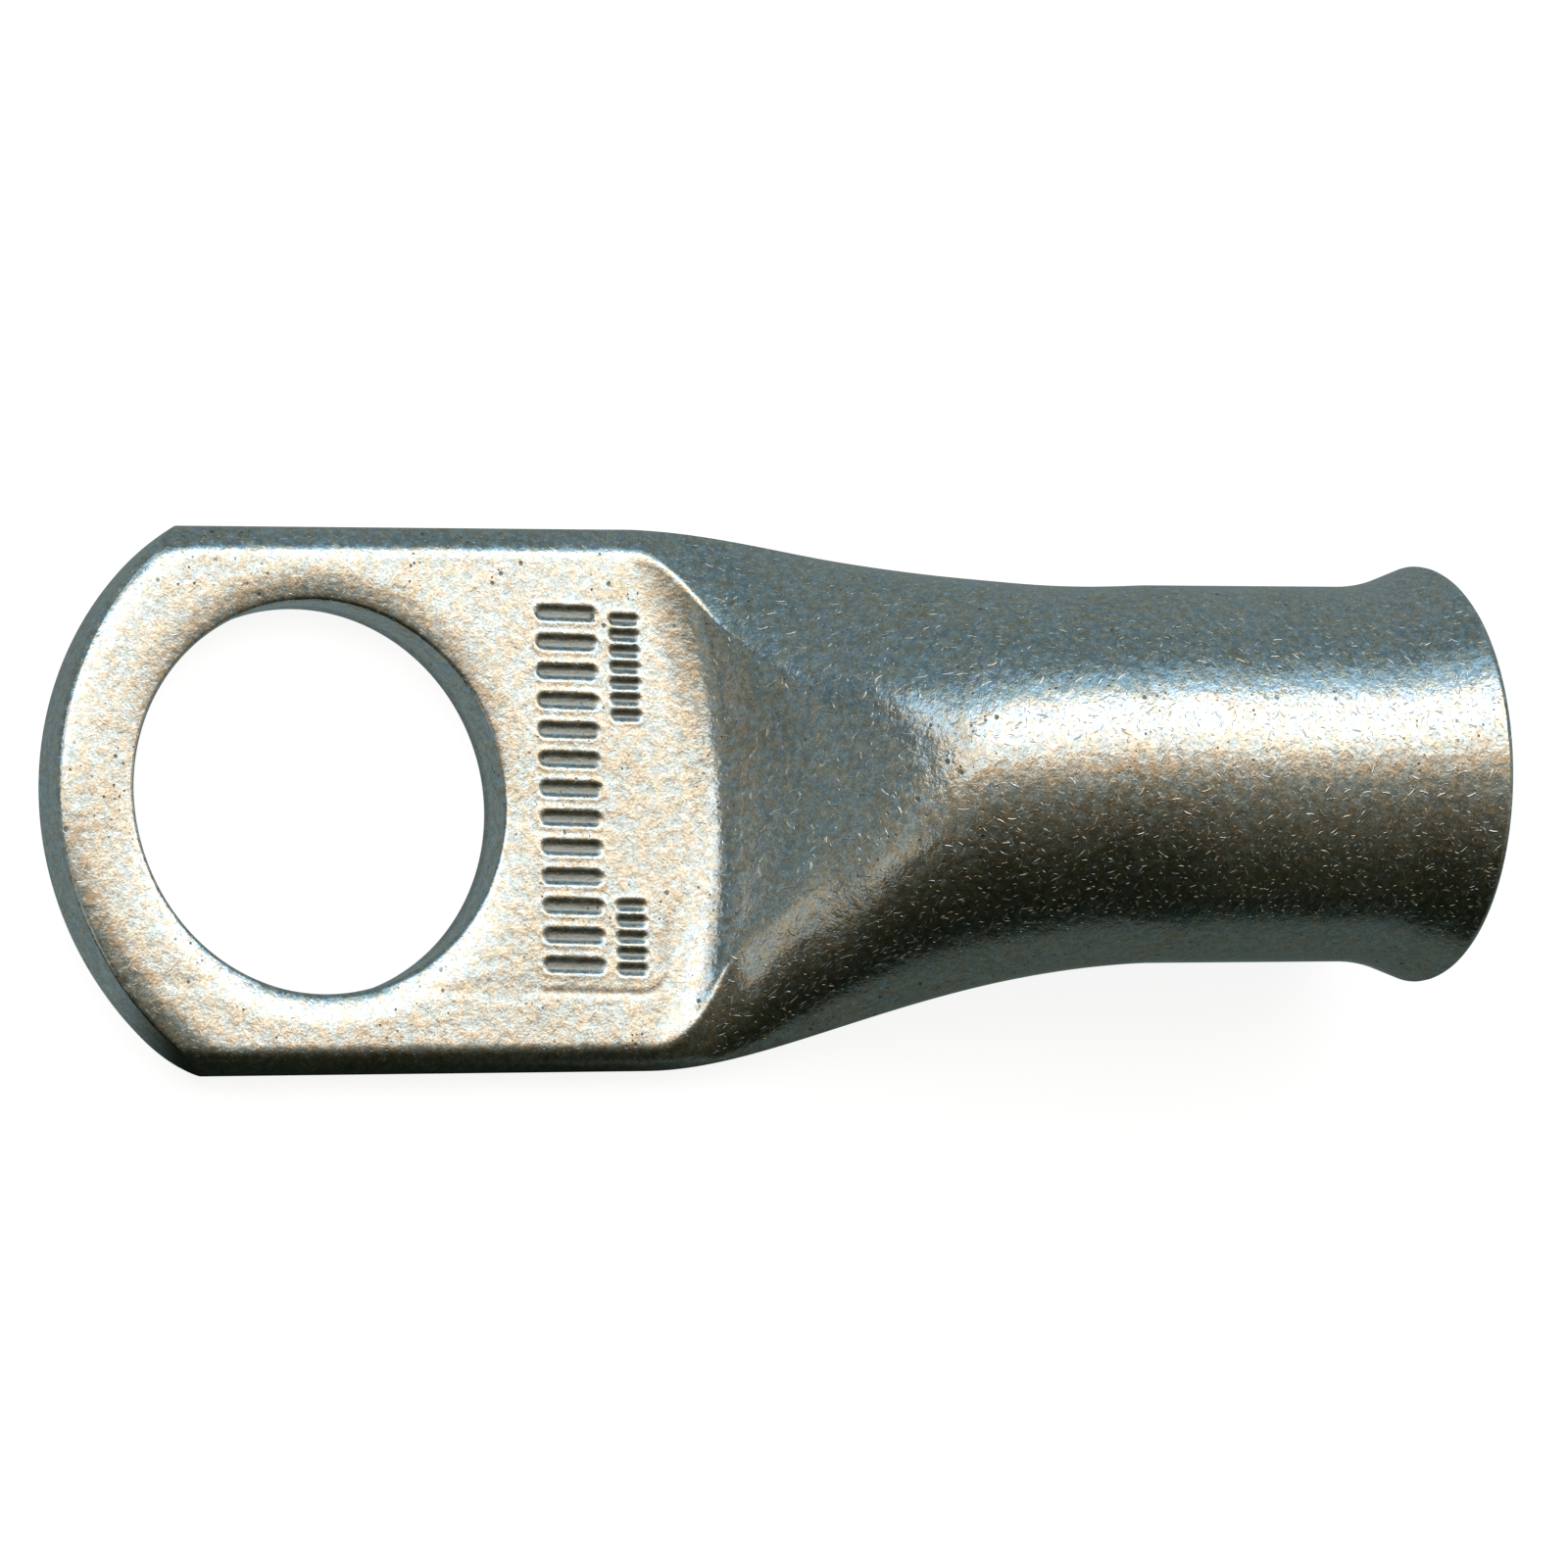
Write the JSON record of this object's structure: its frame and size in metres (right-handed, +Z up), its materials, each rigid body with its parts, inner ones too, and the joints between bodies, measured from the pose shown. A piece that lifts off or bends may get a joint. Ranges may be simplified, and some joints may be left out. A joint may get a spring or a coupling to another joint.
{
  "type": "ring cable lug",
  "caption": "Tinned copper tube lug with a flat ring tongue for a stud and a flared round barrel for a stripped cable.",
  "frame": {"origin": "centre of the stud hole on the flat contact face under the tongue", "axes": "+Z up from the contact face along the stud, +X from the stud hole along the barrel to its open mouth"},
  "size_m": [0.0486, 0.0188, 0.0145],
  "materials": {
    "tinned_copper": "satin"
  },
  "bodies": {
    "root": {"cable_lug": "tinned_copper"}
  },
  "joints": []
}
